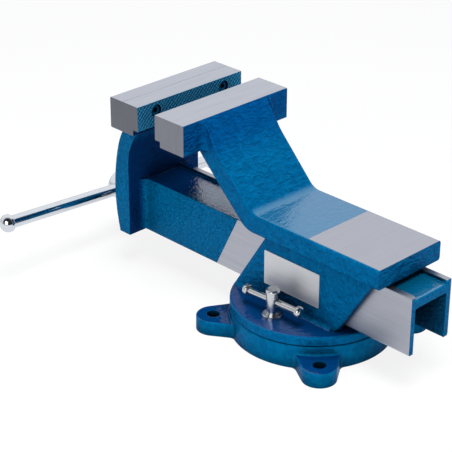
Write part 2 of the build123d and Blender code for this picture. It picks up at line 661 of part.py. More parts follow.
def lead_nut():
    """The nut that the spindle turns in: a block with a rounded crown on the body's floor."""
    half = NUT_WIDTH / 2
    crown = SPINDLE_Z + NUT_CROWN
    outline = FilletPolyline(
        (-half, FLOOR_TOP),
        (-half, crown),
        (half, crown),
        (half, FLOOR_TOP),
        radius=[0, NUT_SHOULDER, NUT_SHOULDER, 0],
        close=True,
    )
    rear_y = NUT_FRONT_Y + NUT_LENGTH
    nut = from_rear(outline, NUT_FRONT_Y, rear_y)
    nut -= lying(THREAD_RADIUS + RUN, 0, SPINDLE_Z, NUT_FRONT_Y - BEYOND, rear_y + BEYOND)
    for place in nut_screw_places():
        nut -= place * upright(SCREW_RADIUS + FIT, 0, 0, -NUT_SCREW_LENGTH - BEYOND, 0)
    return nut


def lead_nut_screws():
    """The screws that hold the lead nut down from below."""
    return Compound(children=[place * cap_screw(NUT_SCREW_LENGTH) for place in nut_screw_places()])


def about_spindle(shape):
    """Turn a shape about the spindle's axis to the handle's tilt."""
    centre = Pos(0, 0, SPINDLE_Z)
    return centre * Rot(0, -HANDLE_TILT, 0) * Pos(0, 0, -SPINDLE_Z) * shape


def spindle():
    """The lead screw: head with its eye, journal in the neck, long threaded stem."""
    head_rear = SPINDLE_FRONT_Y + SPINDLE_HEAD_LENGTH
    head = lying(SPINDLE_HEAD_RADIUS, 0, SPINDLE_Z, SPINDLE_FRONT_Y, head_rear)
    head = fillet(head.edges().group_by(Axis.Y)[0], SPINDLE_NOSE)
    head = chamfer(head.edges().group_by(Axis.Y)[-1], TURNED_EDGE)
    journal_rear = RETAINER_Y + COLLAR_LENGTH + AIR
    stem = lying(JOURNAL_RADIUS, 0, SPINDLE_Z, head_rear, journal_rear)
    thread = lying(THREAD_RADIUS, 0, SPINDLE_Z, journal_rear, SPINDLE_REAR_Y)
    thread = chamfer(thread.edges().group_by(Axis.Y)[-1], THREAD_EDGE)
    screw = head + stem + thread
    eye = Pos(0, HANDLE_Y, SPINDLE_Z) * Rot(0, 90, 0)
    screw -= eye * Cylinder(HANDLE_RADIUS + RUN, 3 * SPINDLE_HEAD_RADIUS)
    screw -= split_pin_hole()
    return about_spindle(screw)


def split_pin_hole():
    """The cross hole through the retaining collar and the journal."""
    y = RETAINER_Y + COLLAR_LENGTH / 2
    height = RETAINER_RADIUS + BEYOND
    return upright(SPLIT_PIN_RADIUS + FIT, 0, y, SPINDLE_Z - height, SPINDLE_Z + height)


def split_pin():
    """The pin that keeps the collar on the spindle, with a rounded loop at its upper end."""
    y = RETAINER_Y + COLLAR_LENGTH / 2
    reach = RETAINER_RADIUS + AIR
    wire = SPLIT_PIN_RADIUS / 2
    pin = upright(SPLIT_PIN_RADIUS, 0, y, SPINDLE_Z - reach, SPINDLE_Z + reach + wire)
    loop_z = SPINDLE_Z + reach + SPLIT_PIN_LOOP + wire
    pin += Pos(0, y, loop_z) * Rot(0, 90, 0) * Torus(SPLIT_PIN_LOOP, wire)
    return about_spindle(pin)


def thrust_washer():
    """The washer that the spindle's head presses on the neck."""
    y = THRUST_FRONT_Y
    washer = lying(THRUST_RADIUS, 0, SPINDLE_Z, y, BOSS_FRONT_Y - RUN)
    return washer - lying(JOURNAL_RADIUS + RUN, 0, SPINDLE_Z, y - BEYOND, BOSS_FRONT_Y + BEYOND)


def disc_springs():
    """Coned spring washers, stacked in turn nose to nose and rim to rim."""
    inner = JOURNAL_RADIUS + RUN
    cone = SPRING_PITCH - SPRING_THICKNESS
    washers = []
    for index in range(SPRING_COUNT):
        low = SPRINGS_Y + index * SPRING_PITCH
        rise_in, rise_out = (0, cone) if index % 2 else (cone, 0)
        section = Polyline(
            (inner, low + rise_in),
            (SPRING_RADIUS, low + rise_out),
            (SPRING_RADIUS, low + rise_out + SPRING_THICKNESS - FIT),
            (inner, low + rise_in + SPRING_THICKNESS - FIT),
            close=True,
        )
        ring = revolve(make_face(section), Axis.Y)
        washers.append(Pos(0, 0, SPINDLE_Z) * ring)
    return Compound(children=washers)


def retaining_collar():
    """The collar behind the neck that keeps the spindle in it."""
    rear = RETAINER_Y + COLLAR_LENGTH
    collar = lying(RETAINER_RADIUS, 0, SPINDLE_Z, RETAINER_Y, rear)
    collar = chamfer(collar.edges().group_by(Axis.Y)[-1], TURNED_EDGE)
    collar -= lying(JOURNAL_RADIUS + FIT, 0, SPINDLE_Z, RETAINER_Y - BEYOND, rear + BEYOND)
    return about_spindle(collar - split_pin_hole())


# Handle --------------------------------------------------------------------


def on_handle(shape):
    """Lay a shape from the Z axis onto the handle's axis, +Z towards +X."""
    lifted = Pos(HANDLE_SHIFT, HANDLE_Y, SPINDLE_Z) * Rot(0, 90, 0) * shape
    return about_spindle(lifted)


def handle_bar():
    """The round bar that turns the spindle."""
    return on_handle(Cylinder(HANDLE_RADIUS, HANDLE_LENGTH - 2 * KNOB_CRUST))


def handle_knob(side):
    """One knob: side is 1 for the +X end and -1 for the other."""
    one = knob(KNOB_RADIUS, KNOB_LENGTH, HANDLE_RADIUS, KNOB_CRUST, KNOB_DOME)
    flip = Rot(0, 0, 0) if side > 0 else Rot(180, 0, 0)
    return on_handle(Pos(0, 0, side * (HANDLE_LENGTH / 2 - KNOB_LENGTH)) * flip * one)


pieces = {
    "swivel_base": swivel_base(),
    "vise_body": vise_body(),
    "rear_jaw_plate": jaw_plate(FIXED_FACE_Y),
    "rear_jaw_screws": plate_screws(FIXED_FACE_Y),
    "label_plate": label_plate(),
    "lead_nut": lead_nut(),
    "lead_nut_screws": lead_nut_screws(),
    "pivot_bolt": pivot_bolt(),
    "pivot_washer": pivot_washer(),
    "sliding_jaw": sliding_jaw(),
    "front_jaw_plate": jaw_plate(MOVING_FACE_Y),
    "front_jaw_screws": plate_screws(MOVING_FACE_Y),
    "spindle": spindle(),
    "thrust_washer": thrust_washer(),
    "disc_springs": disc_springs(),
    "retaining_collar": retaining_collar(),
    "split_pin": split_pin(),
    "handle_bar": handle_bar(),
    "handle_knob_right": handle_knob(1),
    "handle_knob_left": handle_knob(-1),
}
for side, (x, turn) in LOCK_PLACES.items():
    pieces["t_nut_" + side] = t_nut(x)
    pieces["lock_washer_" + side] = lock_washer(x)
    pieces["lock_bolt_" + side] = lock_bolt(x, turn)
    pieces["lock_bar_" + side] = lock_bar(x, turn)
    pieces["lock_bar_knobs_" + side] = lock_knobs(x, turn)

for name, piece in pieces.items():
    export_step(piece, f"parts/{name}.step")
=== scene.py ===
# %% [markdown]
# # A steel bench vise on a swivel base
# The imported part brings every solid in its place, in metres: the bench is z = 0, the user stands
# at -Y and the jaws run along X. This lesson gives the solids their finishes, swaps a few plain
# ones for finer surfaces, and sets up the studio. First comes the frame itself.

import bmesh
import math

import bpy
import numpy as np
from mathutils import Matrix, Vector


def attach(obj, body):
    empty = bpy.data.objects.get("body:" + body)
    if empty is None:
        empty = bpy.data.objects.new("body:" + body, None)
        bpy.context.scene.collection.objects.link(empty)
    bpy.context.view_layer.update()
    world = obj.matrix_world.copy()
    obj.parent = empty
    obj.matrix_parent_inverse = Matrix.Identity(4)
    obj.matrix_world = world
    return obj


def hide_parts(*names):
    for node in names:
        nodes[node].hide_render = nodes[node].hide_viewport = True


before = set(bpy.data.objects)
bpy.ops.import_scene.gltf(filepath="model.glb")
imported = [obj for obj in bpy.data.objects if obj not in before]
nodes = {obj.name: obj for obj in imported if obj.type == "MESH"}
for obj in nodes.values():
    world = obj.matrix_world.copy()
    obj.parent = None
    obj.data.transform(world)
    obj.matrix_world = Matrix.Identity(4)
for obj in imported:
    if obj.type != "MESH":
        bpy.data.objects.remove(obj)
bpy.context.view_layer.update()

# %% [markdown]
# ## Two helpers for materials
# A paint maker gives colours as sRGB hex values, and the renderer wants linear light, so one
# function turns the first into the second. A shader tree is a list of small steps; one helper
# that adds a step with its settings and links keeps each recipe readable.


# %% Colour and node helpers
def linear(hex_colour):
    """Linear RGBA: each sRGB value over 12.92 when dark, else ((c + 0.055) / 1.055) to the power
    2.4."""
    c = np.array([int(hex_colour[i : i + 2], 16) for i in (1, 3, 5)]) / 255
    c = np.where(c <= 0.04045, c / 12.92, ((c + 0.055) / 1.055) ** 2.4)
    return (*c.tolist(), 1.0)


def add(tree, kind, inputs=None, **settings):
    """Adds one shader node; inputs maps its sockets to values or to other nodes' outputs."""
    node = tree.nodes.new("ShaderNode" + kind)
    for name, value in settings.items():
        setattr(node, name, value)
    for socket, value in (inputs or {}).items():
        if isinstance(value, bpy.types.NodeSocket):
            tree.links.new(value, node.inputs[socket])
        else:
            node.inputs[socket].default_value = value
    return node


def new_material(name):
    """A material, its tree, its shader and the place on the piece (Object coordinates, metres)."""
    material = bpy.data.materials.new(name)
    material.use_nodes = True
    tree = material.node_tree
    place = add(tree, "TexCoord").outputs["Object"]
    return material, tree, tree.nodes["Principled BSDF"], place


MM = 0.001
WHITE = (1.0, 1.0, 1.0, 1.0)
print("helpers ready")

# %% [markdown]
# ## Camera
# A product like this is shot from above one corner with a long lens, from about 1.7 m, so that
# its parallel edges stay nearly parallel. The lens is given by its focal length in picture
# pixels, which is easier to measure than millimetres.

# %% Camera
CAMERA_PLACE = Vector((1.070872, 0.966042, 0.842835))
CAMERA_AZIMUTH, CAMERA_ELEVATION, CAMERA_ROLL = (math.radians(a) for a in (135.628, 26.756, 0.13))
FOCAL_PIXELS, FRAME_PIXELS, SENSOR = 1589.9, 452, 36.0

back = Vector(
    (
        math.sin(CAMERA_AZIMUTH) * math.cos(CAMERA_ELEVATION),
        -math.cos(CAMERA_AZIMUTH) * math.cos(CAMERA_ELEVATION),
        math.sin(CAMERA_ELEVATION),
    )
)
level_right = (-back).cross(Vector((0, 0, 1))).normalized()
level_up = level_right.cross(-back)
right = math.cos(CAMERA_ROLL) * level_right + math.sin(CAMERA_ROLL) * level_up
up = -math.sin(CAMERA_ROLL) * level_right + math.cos(CAMERA_ROLL) * level_up
camera_data = bpy.data.cameras.new("camera")
camera_data.sensor_width = SENSOR
camera_data.lens = SENSOR * FOCAL_PIXELS / FRAME_PIXELS
camera_data.clip_end = 20
camera = bpy.data.objects.new("camera", camera_data)
turned = Matrix((right, up, back)).transposed().to_4x4()
camera.matrix_world = Matrix.Translation(CAMERA_PLACE) @ turned
bpy.context.scene.collection.objects.link(camera)
bpy.context.scene.camera = camera
bpy.context.scene.view_settings.view_transform = "Standard"
print("lens", round(camera_data.lens, 2), "mm")

# %% [markdown]
# ## The room
# The vise stands in a white tent. The camera sees white all round it. A mirror sees the tent as
# white too, but the tent is open where the camera stands, and dark there: that draws the dark
# core on a chromed bar. Its skirt is grey, so that round chrome keeps an outline against the
# white. Light Path tells the camera's rays from a mirror's, so one world shader shows each what
# it needs, which a modelled backdrop can't.

# %% World
WORLD_LIGHT = 0.17  # what the room gives to matt surfaces
TENT = 1.08  # how bright the white tent looks in a mirror
OPENING = 0.03  # how bright its opening looks in a mirror
OPENING_SPAN = (0.1, 0.6)  # cosines of the angle to the camera: from tent to opening
SKIRT = 0.6  # how much of its brightness the tent's skirt keeps
SKIRT_SPAN = (0.05, 0.35)  # sines of the elevation: from skirt to tent
world = bpy.data.worlds.new("studio")
world.use_nodes = True
tree = world.node_tree
tree.nodes.clear()
rays = add(tree, "LightPath").outputs
way = add(tree, "TexCoord").outputs["Generated"]
towards = add(tree, "VectorMath", {0: way, 1: back}, operation="DOT_PRODUCT").outputs["Value"]
opens = {"Value": towards, "From Min": OPENING_SPAN[0], "From Max": OPENING_SPAN[1]}
opens.update({"To Min": TENT, "To Max": OPENING})
tent = add(tree, "MapRange", opens, interpolation_type="SMOOTHSTEP").outputs[0]
height = add(tree, "SeparateXYZ", {0: way}).outputs[2]
rises = {"Value": height, "From Min": SKIRT_SPAN[0], "From Max": SKIRT_SPAN[1], "To Min": SKIRT}
skirt = add(tree, "MapRange", rises).outputs[0]
mirror_room = add(tree, "Math", {0: tent, 1: skirt}, operation="MULTIPLY").outputs[0]
room = add(tree, "Mix", {0: rays["Is Glossy Ray"], 2: WORLD_LIGHT, 3: mirror_room}).outputs[0]
straight = {0: rays["Is Camera Ray"], 1: rays["Is Transmission Ray"]}
seen = add(tree, "Math", straight, operation="MAXIMUM").outputs[0]
strength = add(tree, "Mix", {0: seen, 2: room, 3: 1.0}).outputs[0]
shine = add(tree, "Background", {"Color": WHITE, "Strength": strength}).outputs[0]
add(tree, "OutputWorld", {"Surface": shine})
bpy.context.scene.world = world
print("room light", WORLD_LIGHT)

# %% [markdown]
# ## The table
# White paper lies under the vise. Lit like the rest it would turn grey, and more light would
# burn out the steel, so most of its white is its own, and the rest takes the vise's soft shadow.
# It lies a hair under the bench plane, so that it never shares a plane with the base.

# %% Floor
FLOOR_HALF = 3.0  # metres
FLOOR_DROP = 0.4 * MM
FLOOR_OWN_WHITE = 0.84  # share of the floor's white that no shadow can take away
corners = np.array([(-1, -1), (1, -1), (1, 1), (-1, 1)]) * FLOOR_HALF
mesh = bpy.data.meshes.new("floor")
mesh.from_pydata([(x, y, -FLOOR_DROP) for x, y in corners.tolist()], [], [(0, 1, 2, 3)])
floor = bpy.data.objects.new("floor", mesh)
bpy.context.scene.collection.objects.link(floor)
material, tree, shader, _ = new_material("white_table_paper")  # matt paper: no shine, only light
shader.inputs["Base Color"].default_value = linear("#e9eaec")
shader.inputs["Roughness"].default_value = 0.9
shader.inputs["Specular IOR Level"].default_value = 0.0
rays = add(tree, "LightPath").outputs
seen = rays["Is Camera Ray"]
for ray in ("Is Glossy Ray", "Is Transmission Ray"):
    seen = add(tree, "Math", {0: seen, 1: rays[ray]}, operation="MAXIMUM").outputs[0]
share = add(tree, "Math", {0: seen, 1: FLOOR_OWN_WHITE}, operation="MULTIPLY").outputs[0]
glow = add(tree, "Emission", {"Color": WHITE, "Strength": 1.0}).outputs[0]
paper = add(tree, "MixShader", {0: share, 1: shader.outputs[0], 2: glow}).outputs[0]
tree.links.new(paper, tree.nodes["Material Output"].inputs["Surface"])
mesh.materials.append(material)
print("floor", 2 * FLOOR_HALF, "m wide")

# %% [markdown]
# ## Lamps
# Three square soft boxes light the vise: a weak one from the side, a strong one overhead, which
# makes the ground tops the brightest faces, and a weak one from the user's side for the shadows.
# Glossy paint mirrors a lamp as a hard white patch, so only the side lamp shows in mirrors.

# %% Lamps
CENTRE = Vector((0.0, -0.06, 0.10))
LAMPS = {  # direction from the vise, distance, width in metres, power in watts, seen in mirrors
    "key_lamp": ((0.90, 0.25, 0.38), 2.2, 1.4, 18, True),
    "top_lamp": ((0.15, 0.25, 0.95), 2.2, 1.1, 66, False),
    "front_lamp": ((-0.5, -0.9, 0.35), 2.4, 2.0, 9, False),
}
for name, (direction, distance, width, power, mirrored) in LAMPS.items():
    lamp = bpy.data.lights.new(name, "AREA")
    lamp.shape = "SQUARE"
    lamp.size = width
    lamp.energy = power
    holder = bpy.data.objects.new(name, lamp)
    holder.location = CENTRE + Vector(direction).normalized() * distance
    holder.rotation_euler = Vector(direction).to_track_quat("Z", "Y").to_euler()
    holder.visible_glossy = mirrored
    bpy.context.scene.collection.objects.link(holder)
print(len(LAMPS), "lamps")

# %% [markdown]
# ## Enamel on the castings
# The castings wear an oven-dried blue enamel. Light passes its clear blue top layer twice, so
# what it mirrors comes back blue; a small metallic share gives that tint, and stands for no metal
# flakes. A painted map would fit one casting only, and a plain colour would look like plastic,
# so the paint is built up from its ripples, with light and shade painted into its colour as well.

# %% Enamel values
# a darker colour for pools and shaded corners (partly pooled paint, partly painted shade), and a
# painted sheen for level upward faces
ENAMEL_POOL_SHADE, ENAMEL_LEVEL_SHEEN = linear("#003c76"), linear("#006690")
# the first colour is a painted highlight laid on edges
ENAMEL_EDGE_HIGHLIGHT, ENAMEL_TINT = linear("#2a86b8"), linear("#5aa8dc")
# painted highlight on the grip's ridges and painted shade in its grooves
GRIP_RIDGE_HIGHLIGHT, GRIP_GROOVE_SHADE = linear("#3a94c4"), linear("#00284c")
TOP_SHADE_FILTER = (1.0, 0.64, 0.85, 1.0)  # painted shade at the body's top: what is left of red, green and blue
BLUE_MIRROR = 0.35  # the share of light that comes back blue, as from a tinted mirror
CORNER_SHADE = 0.05  # what is left of the colour in the tightest corners, under painted shade
UPWARD_LEAST_LIGHT = 0.65  # what is left of it at least on upward faces, under painted shade
PAINT_ROUGHNESS, STEEL_ROUGHNESS = 0.27, 0.38
PAINT_SPECULAR = 0.02  # the paint mirrors almost nothing under its clear layer
EDGE_ROUNDING, STEEL_ROUNDING = 0.8 * MM, 0.15 * MM  # radii of edges in paint and in ground steel
EDGE_HIGHLIGHT_SHARE = 0.25  # how far the colour on an edge turns into the painted highlight
SCRATCH_RELIEF = 0.05 * MM  # height of a grinding line's ridge
RIPPLE_TOPS = (0.5, 0.9)  # height of the skin: from deep paint to thin paint, partly a painted highlight
UPWARD = (0.75, 0.97)  # upward part of a face's normal: from sloping to level
REARWARD = (0.6, 0.95)  # its part along +Y: from sideways to rearward
EDGE_TURN = (0.985, 0.86)  # cosine of the light's turn over an edge: from none to full
OPEN_SKY = (0.3, 0.85)  # share of the surroundings that is open: from shaded to unshaded
print("a share of", BLUE_MIRROR, "comes back blue")

# %% [markdown]
# ### Orange peel
# Thick enamel dries with a skin of ripples, a few millimetres across. One noise gives ripples of
# one size, which look like dough, so a finer one is added to it and breaks their edges.


# %% Orange peel
FINE_SHARE = 0.35  # how much the fine noise adds to the broad one
BROAD_WAVES, FINE_WAVES = 0.5, 1.1  # waves of each noise in one ripple's width


def orange_peel(tree, place, ripple, stretch):
    """Height of the skin: a broad noise plus a share of a finer one. Its ripples are ripple mm
    wide, times the stretch along each axis."""
    widths = tuple(ripple * MM * share for share in stretch)
    mapping = add(tree, "Mapping", {"Vector": place, "Scale": widths}, vector_type="TEXTURE")
    skin = mapping.outputs[0]
    wave = {"Vector": skin, "Scale": BROAD_WAVES, "Detail": 1.0, "Distortion": 0.8}
    broad = add(tree, "TexNoise", wave).outputs[0]
    wave = {"Vector": skin, "Scale": FINE_WAVES, "Detail": 1.0, "Distortion": 0.4}
    fine = add(tree, "TexNoise", wave).outputs[0]
    both = {0: fine, 1: FINE_SHARE, 2: broad}
    return add(tree, "Math", both, operation="MULTIPLY_ADD").outputs[0]


print("orange peel ready")

# %% [markdown]
# ### Where the grinder went
# After painting, the jaws, the anvil and the slide's bearing stretch are ground, which cuts
# through to bright steel along straight boundaries. Cutting the casting's surface into pieces
# would say the same, but boxes in the piece's own coordinates are simpler: inside one, the steel
# shows. Grinding leaves parallel lines a few tenths of a millimetre apart; they are drawn about
# 1 mm apart here, as finer ones would not show.


# %% Ground steel
WEAR_SPAN = (0.3, 0.7)  # values of the noise: from the darkest to the brightest tool mark
GROUND_BRIGHT = 1.04  # how bright the brightest grinding line is, against its steel


def ground_region(low, high, steel, lines, slant=0.0, contrast=0.1):
    """A box in mm where the grinder went, its steel's colour, its lines' size in mm and their
    contrast. The box shifts along Y by slant mm for each mm of height."""
    return {
        "ends": tuple(np.array(end) * MM for end in (low, high)),
        "slant": slant,
        "steel": linear(steel),
        "lines": tuple(v * MM for v in lines),
        "contrast": contrast,
    }


def ground_steel(tree, place, split, region):
    """One region's mask, colour and scratches. The mask is the product, over X, slanted Y and Z,
    of 1 where a point lies within half the box's side of its middle, and 0 elsewhere."""
    lean = {0: split[2], 1: -region["slant"], 2: split[1]}
    slanted = add(tree, "Math", lean, operation="MULTIPLY_ADD").outputs[0]
    inside = None
    for value, a, b in zip((split[0], slanted, split[2]), *region["ends"]):
        within = {0: value, 1: (a + b) / 2, 2: (b - a) / 2}
        near = add(tree, "Math", within, operation="COMPARE").outputs[0]
        if inside is None:
            inside = near
        else:
            inside = add(tree, "Math", {0: inside, 1: near}, operation="MULTIPLY").outputs[0]
    stretched = {"Vector": place, "Scale": region["lines"]}
    lines = add(tree, "Mapping", stretched, vector_type="TEXTURE").outputs[0]
    scratch = add(tree, "TexNoise", {"Vector": lines, "Scale": 1.0, "Detail": 3.0}).outputs[0]
    wear = {"Value": scratch, "From Min": WEAR_SPAN[0], "From Max": WEAR_SPAN[1]}
    wear.update({"To Min": 1 - region["contrast"], "To Max": GROUND_BRIGHT})
    worn = {0: region["steel"][:3], "Scale": add(tree, "MapRange", wear).outputs[0]}
    return inside, add(tree, "VectorMath", worn, operation="SCALE").outputs[0], scratch


print("ground steel ready")

# %% [markdown]
# ### Painted light and shade in the film
# A thick film of this enamel is a deeper blue. Some colours here are painted light and shade: the
# body darkens towards its top, under the jaw's head, as painted shade. Level upward faces get a
# lighter painted sheen. Low upward faces and the rearward faces by the neck get a darker colour,
# partly pooled paint and partly painted shade, and tight corners darken as painted shade. On the
# gripping faces the ridges get a painted highlight and the grooves painted shade. Each of these is
# a mask worked out from a point's place or facing, so nothing is unwrapped and no map is painted by
# hand.

# %% Painted light and shade in the film
POOL_FADE, SHELTER_FADE = 5, 15  # mm over which the darker pooled colour and painted shade fade out, in height and along Y


def top_shaded_paint(tree, split, colour, heights):
    """Painted shade: the colour darkens from the first height in mm up to the second."""
    rises = {"Value": split[2], "From Min": heights[0] * MM, "From Max": heights[1] * MM}
    sunk = add(tree, "MapRange", rises).outputs[0]
    shade_filter = add(tree, "Mix", {0: sunk, 6: WHITE, 7: TOP_SHADE_FILTER}, data_type="RGBA").outputs[2]
    return add(tree, "VectorMath", {0: colour, 1: shade_filter}, operation="MULTIPLY").outputs[0]


def level_sheen_and_pool_shade(tree, split, facing, upward, pool, shelter):
    """Masks of the upward faces that get a lighter painted sheen, and of the faces that get a
    darker colour, partly pooled paint and partly painted shade: upward ones below pool mm, and with
    a shelter, rearward ones too, all ahead of that Y."""
    falls = {"Value": split[2], "From Min": (pool + POOL_FADE) * MM, "From Max": pool * MM}
    low = add(tree, "MapRange", falls).outputs[0]
    pool_and_shade = add(tree, "Math", {0: upward, 1: low}, operation="MULTIPLY").outputs[0]
    if shelter is not None:
        far, near = shelter * MM, (shelter - SHELTER_FADE) * MM
        nears = {"Value": split[1], "From Min": far, "From Max": near}
        ahead = add(tree, "MapRange", nears).outputs[0]
        turns = {"Value": facing[1], "From Min": REARWARD[0], "From Max": REARWARD[1]}
        rearward = add(tree, "MapRange", turns).outputs[0]
        neck_corner_shade = add(tree, "Math", {0: rearward, 1: pool_and_shade}, operation="MAXIMUM").outputs[0]
        pool_and_shade = add(tree, "Math", {0: neck_corner_shade, 1: ahead}, operation="MULTIPLY").outputs[0]
    level_sheen = add(tree, "Math", {0: upward, 1: pool_and_shade}, operation="SUBTRACT").outputs[0]
    return level_sheen, pool_and_shade


def grip_highlight_and_shade(tree, split, face_y, depth):
    """Painted highlight on the ridges and painted shade in the grooves: pale on the ridges, dark at
    depth mm behind the face, by the distance from its Y.
    """
    behind = add(tree, "Math", {0: split[1], 1: -face_y * MM}, operation="ADD").outputs[0]
    behind = add(tree, "Math", {0: behind}, operation="ABSOLUTE").outputs[0]
    falls = {"Value": behind, "From Max": depth * MM, "To Min": 1.0, "To Max": 0.0}
    ridge = add(tree, "MapRange", falls).outputs[0]
    return add(tree, "Mix", {0: ridge, 6: GRIP_GROOVE_SHADE, 7: GRIP_RIDGE_HIGHLIGHT}, data_type="RGBA").outputs[2]


def corner_light(tree, upward, reach):
    """Painted shade: the share of its colour that paint keeps, least where things within reach mm
    hide most of the room, 1 in the open, and never less than a set share on upward faces."""
    sky = add(tree, "AmbientOcclusion", {"Distance": reach * MM}, samples=6).outputs["AO"]
    opens = {"Value": sky, "From Min": OPEN_SKY[0], "From Max": OPEN_SKY[1], "To Min": CORNER_SHADE}
    clean = add(tree, "MapRange", opens).outputs[0]
    upward_unshaded = add(tree, "Math", {0: upward, 1: UPWARD_LEAST_LIGHT}, operation="MULTIPLY").outputs[0]
    return add(tree, "Math", {0: clean, 1: upward_unshaded}, operation="MAXIMUM").outputs[0]


print("film masks ready")

# %% [markdown]
# ### Edges and gloss
# A Bevel step finds the edges, as the light turns over them, and rounds them, more in paint than
# in ground steel; on painted edges a lighter colour is mixed in as a painted highlight. Modelled
# roundings would need thousands of narrow faces. Upward faces, where paint levels out, get a hard
# clear gloss as well; steel gets none, and its own metallic shine instead.


# %% Edges and gloss
def rounded_edge_highlight(tree, normal, bare):
    """The normal rounded over edges, and a mask of the edges where a painted highlight goes: how
    far the rounded normal turns away from the face's own."""
    bevel = add(tree, "Bevel", {"Radius": EDGE_ROUNDING}, samples=4)
    if bare is not None:
        radius = add(tree, "Mix", {0: bare, 2: EDGE_ROUNDING, 3: STEEL_ROUNDING}).outputs[0]
        tree.links.new(radius, bevel.inputs["Radius"])
    rounded = bevel.outputs[0]
    turn = add(tree, "VectorMath", {0: rounded, 1: normal}, operation="DOT_PRODUCT")
    bends = {"Value": turn.outputs["Value"], "From Min": EDGE_TURN[0], "From Max": EDGE_TURN[1]}
    bends["To Max"] = EDGE_HIGHLIGHT_SHARE
    return rounded, add(tree, "MapRange", bends).outputs[0]


def paint_or_steel(tree, shader, upward, bare, depth):
    """Sets the shine of paint, and of steel where it is bare, with a clear layer on upward paint.
    Returns the relief's depth in metres, which is the scratches' where steel is bare."""
    if bare is None:
        shader.inputs["Metallic"].default_value = BLUE_MIRROR
        shader.inputs["Roughness"].default_value = PAINT_ROUGHNESS
        shader.inputs["Specular Tint"].default_value = ENAMEL_TINT
        tree.links.new(upward, shader.inputs["Coat Weight"])
        return depth
    painted = add(tree, "Math", {0: 1.0, 1: bare}, operation="SUBTRACT").outputs[0]
    coat = add(tree, "Math", {0: upward, 1: painted}, operation="MULTIPLY").outputs[0]
    metallic = add(tree, "Mix", {0: bare, 2: BLUE_MIRROR, 3: 1.0}).outputs[0]
    rough = add(tree, "Mix", {0: bare, 2: PAINT_ROUGHNESS, 3: STEEL_ROUGHNESS}).outputs[0]
    tint = add(tree, "Mix", {0: bare, 6: ENAMEL_TINT, 7: WHITE}, data_type="RGBA").outputs[2]
    tree.links.new(coat, shader.inputs["Coat Weight"])
    tree.links.new(metallic, shader.inputs["Metallic"])
    tree.links.new(rough, shader.inputs["Roughness"])
    tree.links.new(tint, shader.inputs["Specular Tint"])
    return add(tree, "Mix", {0: bare, 2: depth, 3: SCRATCH_RELIEF}).outputs[0]


print("edges and gloss ready")

# %% [markdown]
# ### One shader for paint and steel
# A casting has paint and ground steel on one surface, and a boundary between two materials would
# follow the mesh's faces, so one shader mixes both. The paint comes first, from its ripples up to
# the painted shade in its corners, and the steel is laid over it last, as the grinder comes after
# the paint.


